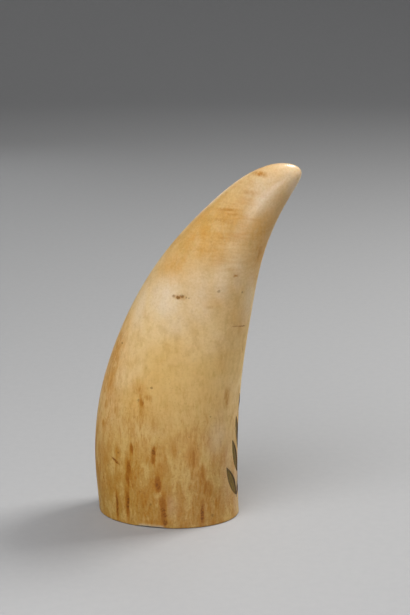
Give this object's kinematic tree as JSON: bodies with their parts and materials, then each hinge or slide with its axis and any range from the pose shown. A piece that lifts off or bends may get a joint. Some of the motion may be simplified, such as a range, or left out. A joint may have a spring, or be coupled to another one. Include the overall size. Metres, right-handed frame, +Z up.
{
  "type": "scrimshaw whale tooth",
  "caption": "Upright bent sperm whale tooth of polished ivory on its sawn hollow base, with laurel sprays engraved on one side.",
  "frame": {"origin": "on the base plane, in the middle of the tooth's footprint box", "axes": "+Z up from the sawn base, +X the way the tip leans, +Y towards the engraved side"},
  "size_m": [0.0778, 0.0394, 0.1364],
  "materials": {
    "ivory": "polished, aged whale ivory: warm cream to tan with growth bands, brown age streaks near the base and pigment in the engraving"
  },
  "bodies": {
    "root": {"whale_tooth": "ivory"}
  },
  "joints": []
}
